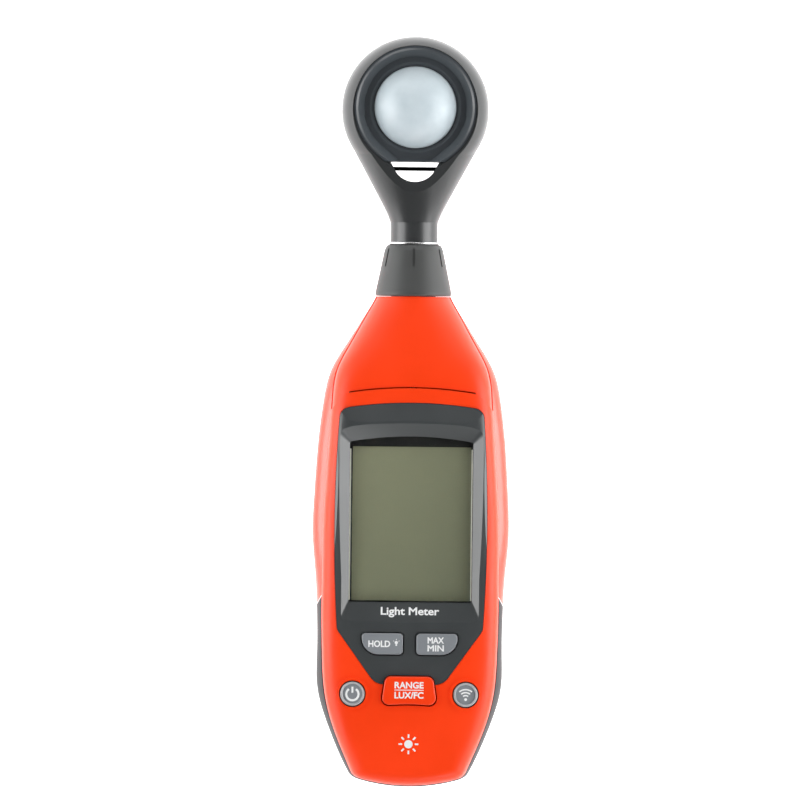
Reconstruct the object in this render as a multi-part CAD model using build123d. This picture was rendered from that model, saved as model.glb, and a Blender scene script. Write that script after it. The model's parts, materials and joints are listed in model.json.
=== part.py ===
from build123d import *
import os
from math import cos, pi, sin

# Handheld light meter lying on its back: +X right, +Y towards the sensor head,
# +Z out of the display. Millimetres. The origin is under the middle of the meter.

# Driving dimensions of the handset casing
SPLIT_Z = 15.0          # height of the parting plane and of the swivel axis
BODY_TOP = 29.2         # the round end of the casing, under the collar
BODY_BOTTOM = -94.9
END_RADIUS = 46.0       # plan radius of the slightly bowed bottom end
WALL = 2.0
FACE_WALL = 2.4         # the front wall is thicker, because the bezel is let into it
PARTING_STEP = 0.4
FRONT_SETBACK = 0.5     # the front shell ends this far short of the door at the bottom

# One row per cross-section: y, front half width, how far the rear shell bulges past it,
# front height, rear depth, and the squareness of the front and rear halves
STATIONS = [
    (29.2, 9.4, 0.1, 9.5, 9.6, 2.05, 2.05),
    (26.2, 11.0, 0.2, 10.1, 10.4, 2.25, 2.15),
    (23.0, 12.8, 0.45, 10.75, 11.4, 2.5, 2.3),
    (17.0, 16.1, 0.9, 11.8, 13.2, 3.3, 2.6),
    (10.5, 19.3, 1.4, 12.8, 14.8, 4.8, 3.0),
    (3.0, 20.4, 2.1, 13.4, 15.5, 6.4, 3.3),
    (-8.0, 21.0, 2.8, 13.6, 15.6, 7.6, 3.4),
    (-20.0, 21.8, 2.8, 13.7, 15.6, 8.0, 3.4),
    (-32.0, 22.3, 2.6, 13.75, 15.6, 8.0, 3.4),
    (-41.0, 22.35, 1.8, 13.72, 15.6, 8.0, 3.4),
    (-50.0, 22.4, 1.25, 13.7, 15.6, 8.0, 3.4),
    (-61.0, 22.15, 1.35, 13.6, 15.6, 8.0, 3.4),
    (-70.5, 21.5, 1.75, 13.5, 15.6, 8.0, 3.4),
    (-77.0, 20.1, 1.4, 13.35, 15.6, 7.7, 3.4),
    (-84.0, 17.6, 1.2, 13.0, 15.5, 7.2, 3.3),
    (-91.0, 14.6, 0.9, 12.6, 15.3, 6.7, 3.1),
    (-98.0, 12.0, 0.6, 12.1, 15.1, 6.4, 3.0),
]
SECTION_STEPS = 24

# Bezel and display
BEZEL_RECESS = 1.2
BEZEL_GAP = 0.12
HOOD_LIFT = 1.15        # the ridge round the display stands this far above the face
GLASS_TOP = 26.6        # front face of the clear window
GLASS_THICK = 1.1
LCD_HALF = 16.0
LCD_TOP_Y, LCD_BOTTOM_Y = -7.4, -49.6

# Keys: travel, gap round each key, and the levels of the mat and the board below them
KEY_TRAVEL = 0.7
KEY_GAP = 0.28
BOARD_Z = 19.6
BOARD_THICK = 1.6
MAT_WEB = 0.8
KEY_FLANGE = 0.6
POWER_XY = (-14.3, -71.3)
WIRELESS_XY = (14.3, -71.3)
ROUND_KEY_R = 3.1

# Battery bay for three AAA cells
CELL_R, CELL_LENGTH = 5.25, 44.5
CELL_PITCH = 10.5
CELL_Z = 8.2
BAY_HALF, BAY_TOP, BAY_BOTTOM = 16.2, -38.0, -87.2
DECK_Z, DECK_THICK = 13.6, 1.2
CELL_XS = (-CELL_PITCH, 0.0, CELL_PITCH)
PLATE = 0.4             # thickness of the contact plates
CONTACT_TAGS = [(-CELL_PITCH, BAY_TOP - 0.25), (CELL_PITCH, BAY_BOTTOM + 0.25)]
DOOR_WALL = 1.8
DOOR_GAP = 0.3
TONGUE_TOP = DOOR_WALL + 1.1    # top of the tongue that hooks the door under the shell

# Swivel between the handset and the sensor head
BORE_R = 5.7
SPIGOT_R = 5.64
FLANGE_R = 7.0
NECK_R = 6.0
NECK_BASE, NECK_TOP = 43.0, 48.0
COLLAR_BASE, COLLAR_TOP = 29.35, 42.4
LEAD_R = 0.7
SENSOR_LEAD_BREAK_Y = 22.6      # where the sensor lead passes from the handset to the head

# Sensor head
HEAD_Y = 76.5
HEAD_R = 18.6
HEAD_FRONT, HEAD_BACK = 12.8, 11.2
RIM_Z = SPLIT_Z + 8.2
BACK_Z = SPLIT_Z - 8.8
DISH_Y = 77.1
DISH_R = 15.5
SLOT_TOP_Y = 63.3       # the strap slot lies between this chord and the tail of the dish
TAIL_Y, TAIL_R = 62.6, 4.4
BAR_Y, BAR_R = 61.65, 0.5       # the strap bar across the slot
DOME_R, DOME_RISE = 10.3, 6.0
DOME_SEAT_Z = RIM_Z - 3.2


def block(x0, x1, y0, y1, z0, z1):
    """A box given by its limits."""
    size = (x1 - x0, y1 - y0, z1 - z0)
    return Pos((x0 + x1) / 2, (y0 + y1) / 2, (z0 + z1) / 2) * Box(*size)


def post(x, y, radius, z0, z1):
    """A round post along Z."""
    return Pos(x, y, (z0 + z1) / 2) * Cylinder(radius, z1 - z0)


def rod_y(radius, y0, y1, x=0.0, z=SPLIT_Z):
    """A round bar along Y, on the swivel axis unless told otherwise."""
    return Pos(x, (y0 + y1) / 2, z) * Rot(90, 0, 0) * Cylinder(radius, y1 - y0)


def prism(face, z0, z1):
    """An XY outline raised between two heights."""
    return extrude(Pos(0, 0, z0) * face, z1 - z0)


def both_sides(solid):
    """The solid and its mirror image in the YZ plane."""
    return [solid, mirror(solid, Plane.YZ)]


# --- casing surfaces ---------------------------------------------------------

def section(y, half, height, power, side, bulge=0.0):
    """Half of a rounded-square cross-section, above (+1) or below (-1) the parting plane."""
    points = []
    for i in range(SECTION_STEPS + 1):
        angle = pi * i / SECTION_STEPS
        c, s = cos(angle), sin(angle)
        r = (abs(c / half) ** power + abs(s / height) ** power) ** (-1 / power)
        x, rise = r * c, max(r * s, 0.0)
        x *= 1 + bulge / half * sin(pi * min(1.0, rise / height) ** 0.58)
        points.append(Vector(x, y, SPLIT_Z + side * rise))
    points[0] = Vector(half, y, SPLIT_Z)
    points[-1] = Vector(-half, y, SPLIT_Z)
    knots = [i / SECTION_STEPS for i in range(SECTION_STEPS + 1)]
    curve = Edge.make_spline(points, parameters=knots)
    return Face(Wire([curve, Edge.make_line(points[-1], points[0])]))


def end_cut(inset):
    """The space inside the bowed bottom end of the casing."""
    disc = Pos(0, BODY_BOTTOM + END_RADIUS, SPLIT_Z) * Cylinder(END_RADIUS - inset, 60)
    return disc + block(-40, 40, BODY_BOTTOM + END_RADIUS, 60, SPLIT_Z - 30, SPLIT_Z + 30)


def front_block(inset=0.0, drop=0.0):
    """The casing above the parting plane, drawn in at the sides and lowered."""
    rows = [section(y, half - inset, front - (drop(y) if callable(drop) else drop), power, 1)
            for y, half, _, front, _, power, _ in STATIONS]
    return loft(rows) & end_cut(inset + FRONT_SETBACK)


def rear_block(inset=0.0):
    """The casing below the parting plane, with its flat back."""
    rows = [section(y, half - inset, depth - inset, power, -1, bulge)
            for y, half, bulge, _, depth, _, power in STATIONS]
    return loft(rows) & end_cut(inset) & block(-30, 30, -100, 30, inset, SPLIT_Z)


def soften_end(solid, radius):
    """Round the bottom end of the casing, away from the parting plane."""
    edges = [e for e in solid.edges()
             if e.center().Y < BODY_BOTTOM + 4 and abs(e.center().Z - SPLIT_Z) > 0.5]
    return fillet(edges, radius)


# --- outlines in the XY plane ------------------------------------------------

def rounded(edges, radii):
    """A face from its edges, its corners rounded by (low y, high y, radius) bands."""
    face = make_face(edges)
    for low, high, radius in radii:
        face = fillet([v for v in face.vertices() if low < v.Y < high], radius)
    return face


def bezel_face(grow=0.0):
    """The dark panel: arched top, bowed sides and cut-off lower corners."""
    corner = (18.2 + grow, 0.8 + grow)
    bow = (19.35 + grow, -33)
    low = (18.5 + grow, -55.1)
    foot = (8.6 + grow / 2, -68.9 - grow)
    edges = [
        ThreePointArc((-corner[0], corner[1]), (0, 2.4 + grow), corner),
        ThreePointArc(corner, bow, low),
        Line(low, foot),
        Line(foot, (-foot[0], foot[1])),
        Line((-foot[0], foot[1]), (-low[0], low[1])),
        ThreePointArc((-low[0], low[1]), (-bow[0], bow[1]), (-corner[0], corner[1])),
    ]
    return rounded(edges, [(-1, 3, 2.8), (-57, -53, 2.5), (-72, -67, 4.0)])


def arched_face(half, top, arch, bottom, corner):
    """A rectangle whose top edge is an arc that falls by `arch` at its ends."""
    edges = [
        ThreePointArc((-half, top - arch), (0, top), (half, top - arch)),
        Line((half, top - arch), (half, bottom)),
        Line((half, bottom), (-half, bottom)),
        Line((-half, bottom), (-half, top - arch)),
    ]
    return fillet(make_face(edges).vertices(), corner)


def display_face(grow=0.0):
    """The opening over the display, under the hood's arched brow."""
    return arched_face(15.6 + grow, -6.2 + grow, 1.4, -48.1 - grow, 0.6 + grow / 2)


def shoulder_face():
    """The shoulders of the front shell, above the raised lip over the bezel."""
    edges = [
        ThreePointArc((-16.7, 4.6), (0, 6.0), (16.7, 4.6)),
        Line((16.7, 4.6), (20.6, 0.3)),
        Polyline((20.6, 0.3), (40, 0.3), (40, 40), (-40, 40), (-40, 0.3), (-20.6, 0.3)),
        Line((-20.6, 0.3), (-16.7, 4.6)),
    ]
    face = make_face(edges)
    return fillet([v for v in face.vertices() if abs(abs(v.X) - 16.7) < 0.1], 4.0)


def door_face(gap=0.0):
    """The region of the casing that the battery door covers."""
    points = [(-16.5, -36), (16.5, -36), (28, -56.6), (28, -110), (-28, -110), (-28, -56.6)]
    face = make_face(Polyline(*points, close=True))
    face = fillet([v for v in face.vertices() if v.Y > -40], 3.0)
    return face if gap == 0 else offset(face, -gap)


def tray_face(grow=0.0):
    """The battery bay, narrower at its lower end to follow the casing."""
    points = [(BAY_HALF, BAY_TOP), (BAY_HALF, -83.0), (14.2, BAY_BOTTOM)]
    mirrored = [(-x, y) for x, y in reversed(points)]
    face = make_face(Polyline(*points, *mirrored, close=True))
    return face if grow == 0 else offset(face, grow)


def small_key_face(side, gap=0.0):
    """The left (-1) or right (+1) grey key, with one large outer corner."""
    face = Pos(side * 6.9, -58.6) * Rectangle(10.4, 5.4)
    outer = [v for v in face.vertices() if v.X * side > 7 and v.Y < -58]
    others = [v for v in face.vertices() if not (v.X * side > 7 and v.Y < -58)]
    face = fillet(outer, 4.2)
    face = fillet([v for v in face.vertices()
                   if any((v.center() - o.center()).length < 0.01 for o in others)], 1.0)
    return face if gap == 0 else offset(face, gap)


def range_key_face(gap=0.0):
    """The red key: a wedge with rounded corners and a hollow lower edge."""
    edges = [
        Line((-6.0, -66.8), (6.0, -66.8)),
        Line((6.0, -66.8), (7.1, -74.3)),
        ThreePointArc((7.1, -74.3), (0, -73.8), (-7.1, -74.3)),
        Line((-7.1, -74.3), (-6.0, -66.8)),
    ]
    face = rounded(edges, [(-68, -66, 1.6), (-75, -74, 1.8)])
    return face if gap == 0 else offset(face, gap)


def round_key_face(centre, gap=0.0):
    return Pos(*centre) * Circle(ROUND_KEY_R + gap)


KEYS = {
    "hold_button": (lambda gap=0.0: small_key_face(-1, gap), 0.55),
    "max_min_button": (lambda gap=0.0: small_key_face(1, gap), 0.55),
    "range_button": (range_key_face, 1.0),
    "power_button": (lambda gap=0.0: round_key_face(POWER_XY, gap), 0.35),
    "wireless_button": (lambda gap=0.0: round_key_face(WIRELESS_XY, gap), 0.35),
}
MAT_TOP = BOARD_Z + BOARD_THICK + MAT_WEB
FLANGE_Z = MAT_TOP + KEY_TRAVEL + 0.05


# --- handset: front ----------------------------------------------------------

def front_cavity():
    """The hollow of the front shell, closed at the neck."""
    return front_block(WALL, FACE_WALL) & block(-40, 40, -120, BODY_TOP - 3.0, 0, 60)


CASE_SCREWS = [(13.0, 8.0), (-13.0, 8.0), (17.9, -60.0), (-17.9, -60.0)]
UPPER_SEAT, LOWER_SEAT = 2.6, 7.6    # heights at which the screw heads bear
BOARD_POSTS = [(15.6, -1.0), (-15.6, -1.0), (11.0, -79.5), (-11.0, -79.5)]


def make_front_shell(cavity):
    outer = soften_end(front_block(), 3.0)
    shoulders = prism(shoulder_face(), SPLIT_Z - 1, 60)
    body = (outer - shoulders) + (front_block(0.3, 0.45) & shoulders)
    crease = shoulders - prism(offset(shoulder_face(), -0.3), SPLIT_Z - 2, 61)
    body -= crease & block(-16, 16, 0, 10, 20, 60) & (front_block() - front_block(0, 0.85))
    step = front_block() - front_block(0.8)
    body -= step & block(-40, 40, -120, 40, 0, SPLIT_Z + PARTING_STEP)
    body -= cavity
    for x, y in CASE_SCREWS:
        body += post(x, y, 2.3, SPLIT_Z, 40) & front_block(0.6, 0.6)
        body -= post(x, y, 0.8, SPLIT_Z - 1, SPLIT_Z + 7)
    for x, y in BOARD_POSTS:
        body += post(x, y, 1.9, BOARD_Z + BOARD_THICK, 40) & front_block(1.5, 1.8)
        body -= post(x, y, 0.65, BOARD_Z, BOARD_Z + 5.5)
    for outline, _ in KEYS.values():
        well = prism(outline(1.25), FLANGE_Z + KEY_FLANGE + 0.2, 40)
        body += well & front_block(1.5, 1.8)
    body -= prism(bezel_face(), 20, 40) - front_block(0, BEZEL_RECESS)
    body -= prism(display_face(1.1), 20, 40)
    for outline, _ in KEYS.values():
        body -= prism(outline(KEY_GAP + 0.05), 20, 40)
        body -= prism(outline(0.9), 20, FLANGE_Z + KEY_FLANGE + 0.2)
    for centre in (POWER_XY, WIRELESS_XY):
        ring = prism(round_key_face(centre, 1.1), 25, 40)
        ring -= prism(round_key_face(centre, KEY_GAP), 20, 40)
        body += ring & (front_block(0, -0.25) - front_block(0, 1.0))
    body -= rod_y(BORE_R, 20, 40) + rod_y(8.6, 23.0, BODY_TOP - 3.2)
    return body


def hood_drop(y):
    """How far the hood's crest is below (or above) the plain face: it fades downwards."""
    if y > -10:
        return -HOOD_LIFT
    fade = min(1.0, (-10 - y) / 44)
    return -HOOD_LIFT + (HOOD_LIFT + 0.35) * fade


def make_bezel():
    """The dark panel, its hood round the display and a lip down to the window."""
    trim = prism(bezel_face(-BEZEL_GAP), 20, 40)
    foot = Pos(0, 0, 28.2) * arched_face(19.5, 3.2, 1.6, -56.5, 2.6)
    brow = Pos(0, 0, 29.9) * arched_face(17.2, -2.9, 1.2, -52.0, 1.6)
    hood = loft([foot.faces()[0], brow.faces()[0]], ruled=True) & front_block(0, hood_drop) & trim
    body = (trim & front_block(0, -0.05)) + hood
    body -= front_block(0, BEZEL_RECESS - 0.02)
    body += prism(display_face(0.9), GLASS_TOP + 0.05, 27.6)
    crest = Pos(0, 0, 29.8) * arched_face(19.3, -2.8, 0.9, -57.0, 1.6)
    arc_edge = Pos(0, 0, 27.3) * arched_face(15.6, -6.2, 1.4, -48.1, 0.6)
    body -= loft([crest.faces()[0], arc_edge.faces()[0]], ruled=True)
    body -= prism(display_face(), 20, 28)
    for name in ("hold_button", "max_min_button", "range_button"):
        body -= prism(KEYS[name][0](KEY_GAP), 20, 40)
    return body


def make_window():
    return prism(display_face(0.8), GLASS_TOP - GLASS_THICK, GLASS_TOP)


def make_lcd_panel(inside):
    return block(-LCD_HALF, LCD_HALF, LCD_BOTTOM_Y, LCD_TOP_Y, 23.2, 25.1) & inside


def make_light_guide(inside):
    guide = block(-15.2, 15.2, -47.5, -7.5, 22.0, 23.0)
    return fillet(guide.edges().filter_by(Axis.Z), 0.8) & inside


def make_lcd_frame(inside):
    top = BOARD_Z + BOARD_THICK
    frame = block(-17.6, 17.6, -51.6, -4.8, top, 24.9)
    frame = fillet(frame.edges().filter_by(Axis.Z), 1.5) & inside
    frame -= block(-LCD_HALF - 0.1, LCD_HALF + 0.1, LCD_BOTTOM_Y - 0.1, LCD_TOP_Y + 0.1, 23.1, 30)
    frame -= block(-15.3, 15.3, -51.0, -7.4, top - 1, 30)
    for x, y in BOARD_POSTS:
        frame -= post(x, y, 2.2, 15, 40)
    return frame


def make_zebra_strip():
    return block(-14.5, 14.5, -49.8, -48.0, BOARD_Z + BOARD_THICK, 23.2)


def make_main_board():
    points = [(17.4, 5.0), (17.4, -70.0), (13.2, -84.0)]
    mirrored = [(-x, y) for x, y in reversed(points)]
    face = make_face(Polyline(*points, *mirrored, close=True))
    board = prism(fillet(face.vertices(), 1.5), BOARD_Z, BOARD_Z + BOARD_THICK)
    for x, y in BOARD_POSTS:
        board -= post(x, y, 1.0, 10, 40)
    for x, y in CASE_SCREWS:
        board -= post(x, y, 2.7, 10, 40)
    return board


def make_board_screws():
    screws = []
    for x, y in BOARD_POSTS:
        screw = post(x, y, 1.7, BOARD_Z - 1.1, BOARD_Z) + post(x, y, 0.65, BOARD_Z, BOARD_Z + 5.0)
        screws.append(screw - block(x - 1.2, x + 1.2, y - 0.2, y + 0.2, 0, BOARD_Z - 0.6))
    return screws


def make_processor():
    chip = block(-5, 5, -34, -24, BOARD_Z - 1.4, BOARD_Z)
    chip = chamfer(chip.edges().group_by(Axis.Z)[0], 0.25)
    for i in range(9):
        chip += block(-5.8, 5.8, -33.4 + 1.1 * i, -33.0 + 1.1 * i, BOARD_Z - 0.25, BOARD_Z)
    return chip


def make_wireless_module():
    board = block(-14.5, -7.0, -20, -9, BOARD_Z - 0.8, BOARD_Z)
    return board + block(-13.9, -7.6, -16.5, -9.6, BOARD_Z - 2.0, BOARD_Z - 0.8)


def make_keypad_mat():
    """One rubber mat with a dome under every key."""
    top = BOARD_Z + BOARD_THICK
    mat = block(-17.0, 17.0, -76.5, -53.0, top, MAT_TOP)
    mat = fillet(mat.edges().filter_by(Axis.Z), 2.0)
    domes = [(-6.9, -58.6), (6.9, -58.6), (0, -70.4), POWER_XY, WIRELESS_XY]
    for x, y in domes:
        mat += Pos(x, y, (MAT_TOP + FLANGE_Z) / 2) * Cone(2.3, 1.4, FLANGE_Z - MAT_TOP)
    for x, y in CASE_SCREWS:
        mat -= post(x, y, 2.7, 10, 40)
    return mat


def make_key(name):
    """A key cap: a flange trapped under the face, and a top that follows the casing."""
    outline, proud = KEYS[name]
    cap = prism(outline(), FLANGE_Z, 40) & front_block(0, -proud)
    rim = [e for e in cap.edges() if e.center().Z > FLANGE_Z + 1.5 and e.length > 0.3
           and abs((e @ 0).Z - (e @ 1).Z) < 1.2 and (e @ 0.5).Z > 25]
    cap = fillet(rim, 0.3)
    return cap + prism(outline(0.6), FLANGE_Z, FLANGE_Z + KEY_FLANGE)


# --- handset: rear -----------------------------------------------------------

def make_rear_shell():
    door = prism(door_face(), -1, 60)
    skirt_inset = DOOR_WALL + DOOR_GAP
    body = (soften_end(rear_block(), 3.4) - door) + (rear_block(skirt_inset) & door)
    inner_door = prism(offset(door_face(), 1.6), -1, 60)
    tray = prism(tray_face(1.4), 0, DECK_Z + DECK_THICK)
    hollow = (rear_block(WALL) - inner_door) + (rear_block(skirt_inset + 1.6) & inner_door)
    body -= (hollow - tray) & block(-40, 40, -120, BODY_TOP - 3.0, 0, 60)
    for x, y in CASE_SCREWS:
        low = 0.0 if y > 0 else skirt_inset
        body += post(x, y, 2.3, low, SPLIT_Z) & rear_block(0.8 if y > 0 else skirt_inset)
    pocket = prism(tray_face(), WALL + 0.2, DECK_Z)
    body -= pocket + (prism(tray_face(), -1, DECK_Z) & door)
    for x, y in CASE_SCREWS:
        head_z = UPPER_SEAT if y > 0 else LOWER_SEAT
        body -= post(x, y, 1.05, -1, 60) + post(x, y, 1.9, -1, head_z)
    body -= block(-5.5, 5.5, -40, -34.4, 1.9, TONGUE_TOP + 0.2)
    body -= block(-12, 12, -100, BAY_BOTTOM + 0.5, 0, TONGUE_TOP + 0.3)
    for groove in both_sides(block(18.0, 25.0, -98, -52.5, 10.6, 12.4) - rear_block(skirt_inset + 1.0)):
        body -= groove
    body += stop_post()
    body -= rod_y(BORE_R, 20, 40)
    for x, y in CONTACT_TAGS:
        body -= block(x - 1.4, x + 1.4, y - 0.5, y + 0.5, DECK_Z - 1, DECK_Z + DECK_THICK + 1)
    return body


def stop_post():
    """The fixed stop that limits how far the head turns."""
    post_block = block(-2.7, 2.7, 23.4, 25.6, 4.0, SPLIT_Z - FLANGE_R - 0.35)
    return post_block & rear_block(0.8)


def make_door():
    region = prism(door_face(0.15), -1, SPLIT_Z - DOOR_GAP)
    door = (soften_end(rear_block(), 3.4) - rear_block(DOOR_WALL)) & region
    rib = (block(18, 25, -70, -54, 10.9, 12.1) & rear_block(DOOR_WALL - 0.4)) - rear_block(DOOR_WALL + 0.85)
    for side in both_sides(rib):
        door += side
    door += block(-5.2, 5.2, -39.5, -34.8, DOOR_WALL + 0.25, TONGUE_TOP)
    door += block(-5.2, 5.2, -39.5, -37.6, DOOR_WALL - 0.3, DOOR_WALL + 0.6)
    for i in range(5):
        y = -43.0 - 2.4 * i
        door -= Pos(0, y, -0.35) * Rot(0, 90, 0) * Cylinder(0.9, 16 - 1.6 * i)
    return door


def make_door_pad():
    pad = block(-11, 11, -66, -56, DOOR_WALL, DOOR_WALL + 0.45)
    return fillet(pad.edges().filter_by(Axis.Z), 1.5)


def make_cell(index):
    """An AAA cell, its button towards the head except in the middle one."""
    up = index != 1
    low = BAY_BOTTOM + PLATE + 3.55 if up else BAY_BOTTOM + PLATE + 0.25
    high = low + CELL_LENGTH
    x = CELL_XS[index]
    can = rod_y(CELL_R, low + (0 if up else 1), high - (1 if up else 0), x, CELL_Z)
    can = fillet(can.edges(), 0.5)
    button = rod_y(1.9, high - 1.5, high, x, CELL_Z) if up else rod_y(1.9, low, low + 1.5, x, CELL_Z)
    return can + fillet(button.edges(), 0.3)


def make_contacts():
    """Four plates: two join neighbouring cells, two carry a tag through the deck."""
    plates = []
    for y0, wide, single in ((BAY_TOP - PLATE - 0.05, 1, -1), (BAY_BOTTOM + 0.05, -1, 1)):
        y1 = y0 + PLATE
        pair = sorted((wide * 13.8, -wide * 3.3))
        plates.append(block(*pair, y0, y1, 3.6, 12.0))
        lone = block(single * CELL_PITCH - 3.4, single * CELL_PITCH + 3.4, y0, y1, 3.6, 12.0)
        tag = block(single * CELL_PITCH - 1.1, single * CELL_PITCH + 1.1, y0, y1, 11.0, DECK_Z + 3.2)
        plates.append(lone + tag)
    room = rear_block(DOOR_WALL + 0.7) + block(-30, 30, -100, 0, SPLIT_Z - 0.1, 20)
    return [plate & room for plate in plates]


def make_springs():
    """Coil springs at each cell's flat end."""
    springs = []
    for index, x in enumerate(CELL_XS):
        up = index != 1
        start = BAY_BOTTOM + PLATE + 0.35 if up else BAY_TOP - PLATE - 0.35
        path = Pos(x, start, CELL_Z) * Rot(-90 if up else 90, 0, 0) * Helix(0.95, 2.85, 3.3, cone_angle=-12)
        section_plane = Plane(path @ 0, z_dir=path % 0)
        springs.append(sweep(section_plane * Circle(0.28), path))
    return springs


def make_case_screws():
    screws = []
    for x, y in CASE_SCREWS:
        seat = UPPER_SEAT if y > 0 else LOWER_SEAT
        screw = post(x, y, 1.75, seat - 1.2, seat) + post(x, y, 0.8, seat, SPLIT_Z + 6)
        screw -= post(x, y, 0.6, 0, seat - 0.6)
        screws.append(screw)
    return screws


def tube(points, radii, radius):
    """A round lead along straight runs joined by tangent arcs."""
    path = FilletPolyline(*points, radius=radii)
    return sweep(Plane(path @ 0, z_dir=path % 0) * Circle(radius), path)


def battery_lead(tag, aside):
    """A lead from a contact's tag up to the main board, ending a little to one side."""
    x, y = tag
    z = DECK_Z + 2.4
    points = [(x, y + 0.22, z), (x, y + 3.0, z), (x - aside, y + 6.0, BOARD_Z - 2.2),
              (x - aside, y + 6.3, BOARD_Z - 0.1)]
    return tube(points, [1.6, 1.0], 0.55)


def make_handset_lead():
    """The sensor lead from the main board to the swivel."""
    points = [(0, 0.0, BOARD_Z - 0.1), (0, 0.4, BOARD_Z - 2.4), (0, 7.0, SPLIT_Z),
              (0, SENSOR_LEAD_BREAK_Y - 0.05, SPLIT_Z)]
    return tube(points, [1.5, 4.0], LEAD_R)


# --- swivel and head ---------------------------------------------------------

def make_collar():
    """The tapered sleeve over the neck, with shallow grooves down from its top."""
    face = make_face(Polyline((6.05, COLLAR_BASE), (9.6, COLLAR_BASE), (9.6, COLLAR_BASE + 1.0), (7.4, 41.0),
                              (6.9, 42.1), (6.05, COLLAR_TOP), close=True))
    face = fillet([v for v in face.vertices() if v.X > 7 and v.Y > 40], 0.8)
    face = fillet([v for v in face.vertices() if v.X > 9.5 and v.Y < 29.9], 0.4)
    sleeve = Pos(0, 0, SPLIT_Z) * revolve(face, Axis.Y)
    core = make_face(Polyline((0, 29), (9.38, 29), (9.38, 30.3), (7.2, 40.9), (6.7, 50), (0, 50), close=True))
    groove = block(-0.3, 0.3, 36.8, 49, 0, 12) - revolve(core, Axis.Y)
    for i in range(6):
        sleeve -= Pos(0, 0, SPLIT_Z) * Rot(0, 60 * i, 0) * groove
    return sleeve


def make_neck_ring():
    ring = rod_y(6.75, COLLAR_TOP + 0.05, COLLAR_TOP + 0.6)
    return fillet(ring.edges().filter_by(GeomType.CIRCLE), 0.2) - rod_y(NECK_R + 0.02, 40, 46)


def make_washer():
    """The wave washer that gives the swivel its drag."""
    y = BODY_TOP - 3.0
    return rod_y(6.9, y - 0.75, y - 0.25) - rod_y(SPIGOT_R + 0.15, 20, 40)


def make_o_ring():
    return Pos(0, BODY_TOP - 1.5, SPLIT_Z) * Rot(90, 0, 0) * Torus(5.24, 0.43)


def head_section(y, half, front, back):
    """A whole rounded cross-section of the head's stem."""
    points = []
    count = 24
    for i in range(count):
        angle = 2 * pi * i / count
        c, s = cos(angle), sin(angle)
        height = front if s >= 0 else back
        r = (abs(c / half) ** 2.3 + abs(s / height) ** 2.3) ** (-1 / 2.3)
        points.append(Vector(r * c, y, SPLIT_Z + r * s))
    return Face(Wire([Edge.make_spline(points, periodic=True)]))


def pebble():
    """The round of the head: a rounded rim between a flat front and a flat back."""
    points = []
    for i in range(11):
        rise = RIM_Z - SPLIT_Z + (BACK_Z - RIM_Z) * i / 10
        height = HEAD_FRONT if rise >= 0 else HEAD_BACK
        points.append((HEAD_R * (1 - abs(rise / height) ** 2.5) ** 0.4, rise))
    front, back = points[0][1], points[-1][1]
    face = make_face([Spline(*points), Polyline(points[-1], (0, back), (0, front), points[0])])
    return Pos(0, HEAD_Y, SPLIT_Z) * revolve(Plane.XZ * face, Axis.Z)


STEM = [(NECK_TOP, 6.05, 6.05, 6.05), (50.8, 7.2, 6.8, 6.7), (55.0, 9.4, 8.0, 7.5), (60.0, 12.1, 9.6, 8.7),
        (65.5, 15.1, 11.2, 9.9), (71.0, 17.5, 12.2, 10.7)]


def head_solid():
    """The pebble and its stem in one, flattened front and back."""
    stem = loft([head_section(*row) for row in STEM])
    return pebble() + (stem & block(-30, 30, 40, 110, BACK_Z, RIM_Z))


def teardrop_face(grow=0.0):
    """The outline of the dish: a circle run into a smaller one at its tail."""
    sine = (DISH_R - TAIL_R) / (DISH_Y - TAIL_Y)
    cosine = (1 - sine * sine) ** 0.5
    big, small = DISH_R + grow, TAIL_R + grow
    start = (big * cosine, DISH_Y - big * sine)
    end = (small * cosine, TAIL_Y - small * sine)
    edges = [
        ThreePointArc((-start[0], start[1]), (0, DISH_Y + big), start),
        Line(start, end),
        ThreePointArc(end, (0, TAIL_Y - small), (-end[0], end[1])),
        Line((-end[0], end[1]), (-start[0], start[1])),
    ]
    return make_face(edges)


def slot_face():
    """The strap slot: a straight upper edge, sides drawn in to a round tail."""
    edges = [
        Line((-6.2, SLOT_TOP_Y), (6.2, SLOT_TOP_Y)),
        Line((6.2, SLOT_TOP_Y), (4.5, 60.3)),
        ThreePointArc((4.5, 60.3), (0, TAIL_Y - TAIL_R), (-4.5, 60.3)),
        Line((-4.5, 60.3), (-6.2, SLOT_TOP_Y)),
    ]
    return rounded(edges, [(60, 61, 0.8)])


HEAD_SCREWS = [(13.1, 73.4), (-13.1, 73.4)]
LEAD_ROUTE = [(0, 44.0, SPLIT_Z), (0, 47.5, SPLIT_Z), (8.3, 56.5, SPLIT_Z), (8.6, 66.5, SPLIT_Z - 1)]


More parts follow.
